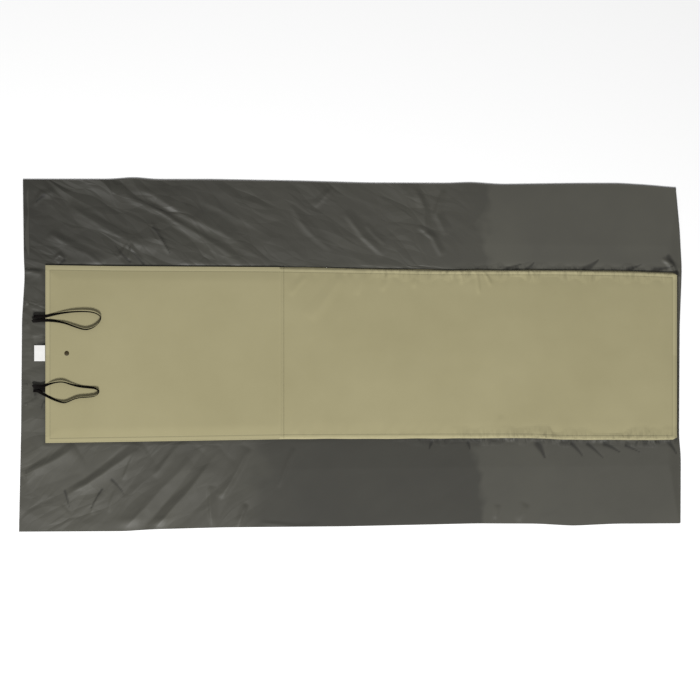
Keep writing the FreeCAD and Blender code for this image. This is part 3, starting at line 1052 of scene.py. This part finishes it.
def coatedNylon():
    # polyurethane-coated nylon taffeta, plain woven: a tight thread that takes a soft, slightly greasy
    # sheen, and holds the straight creases it was packed with
    material, tree, shader = newMaterial("coatedNylonTaffeta", {
        "Roughness": 0.52, "Specular IOR Level": 0.36, "Sheen Weight": 0.04, "Sheen Roughness": 0.5,
    })
    coords = addNode(tree, "TexCoord").outputs["Object"]
    cloud = addNode(tree, "TexNoise", None, {"Scale": 2.2, "Detail": 4.0, "Roughness": 0.6},
                    {"Vector": coords})
    base = ramp(tree, cloud.outputs["Fac"], "3e3d37", "43423b", (0.35, 0.65))
    # the gathers beside a seam: narrow pits, with painted shade darkening their bottoms
    gather = addNode(tree, "Attribute", {"attribute_name": "gather"}).outputs["Fac"]
    pits = addNode(tree, "TexNoise", None, {"Scale": 70.0, "Detail": 2.5, "Distortion": 0.6},
                   {"Vector": stretched(tree, coords, (1.0, 0.42, 0.0))}).outputs["Fac"]
    paintedPitShade = addNode(tree, "MapRange", None, {1: 0.58, 2: 0.44, 3: 0.0, 4: 0.80}, {0: pits}).outputs[0]
    shade = product(tree, paintedPitShade, gather)
    light = addNode(tree, "Math", {"operation": "SUBTRACT"}, {0: 1.0}, {1: shade}).outputs[0]
    # the tone attribute brings painted light and shade: broad lighter and darker zones, and dark short
    # creases
    tone = addNode(tree, "Attribute", {"attribute_name": "tone"}).outputs["Fac"]
    level = addNode(tree, "Math", {"operation": "ADD"}, {1: 1.0}, {0: tone}).outputs[0]
    colour = addNode(tree, "VectorMath", {"operation": "SCALE"}, None,
                     {0: base, "Scale": product(tree, light, level)})
    tree.links.new(colour.outputs[0], shader.inputs["Base Color"])
    # creases with flat planes between them, long in the direction that the cloth was drawn
    crumple = addNode(tree, "Attribute", {"attribute_name": "crumple"}).outputs["Fac"]
    flow = addNode(tree, "Attribute", {"attribute_name": "crease"}).outputs["Vector"]
    normal = weave(tree, coords, 1.6e-3, 0.04e-3, 0.25)  # threads are 0.2 mm apart, drawn wider
    for size, squeeze, depth in ((0.095, 0.36, 17.0e-3), (0.036, 0.42, 4.0e-3)):
        planes = addNode(tree, "TexVoronoi", {"feature": "DISTANCE_TO_EDGE"}, {"Scale": 1 / size},
                         {"Vector": stretched(tree, flow, (squeeze, 1.0, 1.0))}).outputs["Distance"]
        normal = addBump(tree, product(tree, planes, crumple), depth, normal)
    normal = addBump(tree, product(tree, pits, gather), 6.0e-3, normal)
    tree.links.new(normal, shader.inputs["Normal"])
    return material


def polyesterCanvas():
    # polyester canvas, plain woven and washed: dry and matte, a little paler where the hems double it
    material, tree, shader = newMaterial("polyesterCanvas", {
        "Roughness": 0.82, "Specular IOR Level": 0.25, "Sheen Weight": 0.06, "Sheen Roughness": 0.6,
    })
    coords = addNode(tree, "TexCoord").outputs["Object"]
    cloud = addNode(tree, "TexNoise", None, {"Scale": 3.0, "Detail": 5.0, "Roughness": 0.6},
                    {"Vector": coords})
    tone = ramp(tree, cloud.outputs["Fac"], "938c6a", "999270", (0.3, 0.7))
    hem = addNode(tree, "Attribute", {"attribute_name": "hem"})
    paler = addNode(tree, "Mix", {"data_type": "RGBA"}, None, {"Factor": hem.outputs["Fac"]})
    paler.inputs[7].default_value = srgb("9f9876")
    tree.links.new(tone, paler.inputs[6])
    line = addNode(tree, "Attribute", {"attribute_name": "stitchLine"})
    shade = addNode(tree, "Mix", {"data_type": "RGBA"}, None, {"Factor": line.outputs["Fac"]})
    shade.inputs[7].default_value = srgb("8b8566")
    tree.links.new(paler.outputs[2], shade.inputs[6])
    # narrow gathers running in from the seams, with painted shade darkening their hollows
    gather = addNode(tree, "Attribute", {"attribute_name": "gather"}).outputs["Fac"]
    tucks = addNode(tree, "TexNoise", None, {"Scale": 62.0, "Detail": 2.0, "Distortion": 0.4},
                    {"Vector": stretched(tree, coords, (1.0, 0.30, 0.0))}).outputs["Fac"]
    paintedHollowShade = addNode(tree, "MapRange", None, {1: 0.50, 2: 0.36, 3: 0.0, 4: 0.34}, {0: tucks}).outputs[0]
    light = addNode(tree, "Math", {"operation": "SUBTRACT"}, {0: 1.0},
                    {1: product(tree, paintedHollowShade, gather)}).outputs[0]
    colour = addNode(tree, "VectorMath", {"operation": "SCALE"}, None, {0: shade.outputs[2], "Scale": light})
    tree.links.new(colour.outputs[0], shader.inputs["Base Color"])
    # threads are about 0.5 mm apart; drawn at 1.8 mm so that they show
    normal = weave(tree, coords, 1.8e-3, 0.08e-3, 0.6)
    normal = addBump(tree, product(tree, tucks, gather), 9.0e-3, normal)
    tree.links.new(normal, shader.inputs["Normal"])
    return material


def braidedElastic():
    # flat braided elastic, black: a close rib along the tape that barely shines
    material, tree, shader = newMaterial("braidedElastic", {
        "Base Color": srgb("0e0b0a"), "Roughness": 0.74, "Specular IOR Level": 0.07, "Sheen Weight": 0.01,
        "Sheen Roughness": 0.4,
    })
    coords = addNode(tree, "TexCoord").outputs["Object"]
    tree.links.new(weave(tree, coords, 1.0e-3, 0.10e-3, 0.6), shader.inputs["Normal"])
    return material


def studEnamel():
    # stamped steel with a baked olive-brown enamel
    material, tree, shader = newMaterial("bakedEnamel", {
        "Base Color": srgb("3f3619"), "Roughness": 0.52, "Specular IOR Level": 0.35,
    })
    coords = addNode(tree, "TexCoord").outputs["Object"]
    speck = addNode(tree, "TexNoise", None, {"Scale": 900.0, "Detail": 3.0}, {"Vector": coords})
    tone = ramp(tree, speck.outputs["Fac"], "2a220d", "3e3519")
    tree.links.new(tone, shader.inputs["Base Color"])
    return material


def studBrass():
    # drawn brass, dulled by handling
    material, tree, shader = newMaterial("drawnBrass", {"Metallic": 1.0, "Roughness": 0.34})
    coords = addNode(tree, "TexCoord").outputs["Object"]
    cloud = addNode(tree, "TexNoise", None, {"Scale": 400.0, "Detail": 4.0}, {"Vector": coords})
    tone = ramp(tree, cloud.outputs["Fac"], "a88a4c", "c7a866")
    tree.links.new(tone, shader.inputs["Base Color"])
    return material


def labelSatin():
    # woven acetate satin: white, with fine crosswise ribs
    material, tree, shader = newMaterial("wovenSatinLabel", {
        "Roughness": 0.5, "Specular IOR Level": 0.4, "Sheen Weight": 0.1,
    })
    coords = addNode(tree, "TexCoord").outputs["Object"]
    rib = addNode(tree, "TexWave", {"bands_direction": "X"}, {"Scale": 80.0, "Distortion": 0.3},
                  {"Vector": coords})
    tone = ramp(tree, rib.outputs["Fac"], "dcdbd8", "e6e5e2")
    tree.links.new(tone, shader.inputs["Base Color"])
    tree.links.new(addBump(tree, rib.outputs["Fac"], 0.05e-3, None, 0.5), shader.inputs["Normal"])
    return material


def spunThread():
    # spun polyester sewing thread, a shade darker than the canvas
    material, tree, shader = newMaterial("spunPolyesterThread", {
        "Base Color": srgb("8a8464"), "Roughness": 0.7, "Sheen Weight": 0.2,
    })
    coords = addNode(tree, "TexCoord").outputs["Object"]
    twist = addNode(tree, "TexNoise", None, {"Scale": 700.0, "Detail": 2.0}, {"Vector": coords})
    tone = ramp(tree, twist.outputs["Fac"], "7d775a", "979171")
    tree.links.new(tone, shader.inputs["Base Color"])
    return material


# ---- studio

studio = dict(width=700 / 300, centreX=-0.5 / 300, centreY=5.5 / 300, height=4.0,
              keyEnergy=1215.0, worldStrength=0.34)


def areaLight(name, place, aim, size, energy):
    data = bpy.data.lights.new(name, "AREA")
    data.shape = "RECTANGLE"
    data.size, data.size_y = size
    data.energy = energy
    light = bpy.data.objects.new(name, data)
    light.location = place
    light.rotation_euler = (Vector(aim) - Vector(place)).to_track_quat("-Z", "Y").to_euler()
    scene.collection.objects.link(light)


def makeStudio():
    camera = bpy.data.objects.new("camera", bpy.data.cameras.new("camera"))
    camera.data.type = "ORTHO"
    camera.data.ortho_scale = studio["width"]
    camera.location = (studio["centreX"], studio["centreY"], studio["height"])
    scene.collection.objects.link(camera)
    scene.camera = camera
    areaLight("key", (-1.6, -7.4, 6.0), (0, 0, 0), (2.0, 1.6), studio["keyEnergy"])
    world = bpy.data.worlds.new("studio")
    world.use_nodes = True
    world.node_tree.nodes["Background"].inputs["Color"].default_value = srgb("ffffff")
    world.node_tree.nodes["Background"].inputs["Strength"].default_value = studio["worldStrength"]
    scene.world = world
    scene.view_settings.view_transform = "Standard"
    bm = bmesh.new()
    bmesh.ops.create_grid(bm, x_segments=1, y_segments=1, size=6)
    paper, tree, shader = newMaterial("paper", {"Base Color": srgb("fdfdfd"), "Roughness": 0.9,
                                                "Specular IOR Level": 0.1})
    grain = addNode(tree, "TexNoise", None, {"Scale": 60.0})
    tree.links.new(addBump(tree, grain.outputs["Fac"], 0.02e-3, None, 0.2), shader.inputs["Normal"])
    floor = finishPiece("floor", bm, paper, smoothAll=False)
    print("studio set")


nylon = coatedNylon()
canvas = polyesterCanvas()
makeUnderside(nylon)
makeCover(nylon)
makeSackEdges(nylon)
makeSleeve(canvas)
makeStitches(spunThread())
elastic = braidedElastic()
makeLoop("leftLoop", leftLoop, elastic)
makeLoop("rightLoop", rightLoop, elastic)
makePressStud(studEnamel(), studBrass())
makeLabel(labelSatin())
makeStudio()
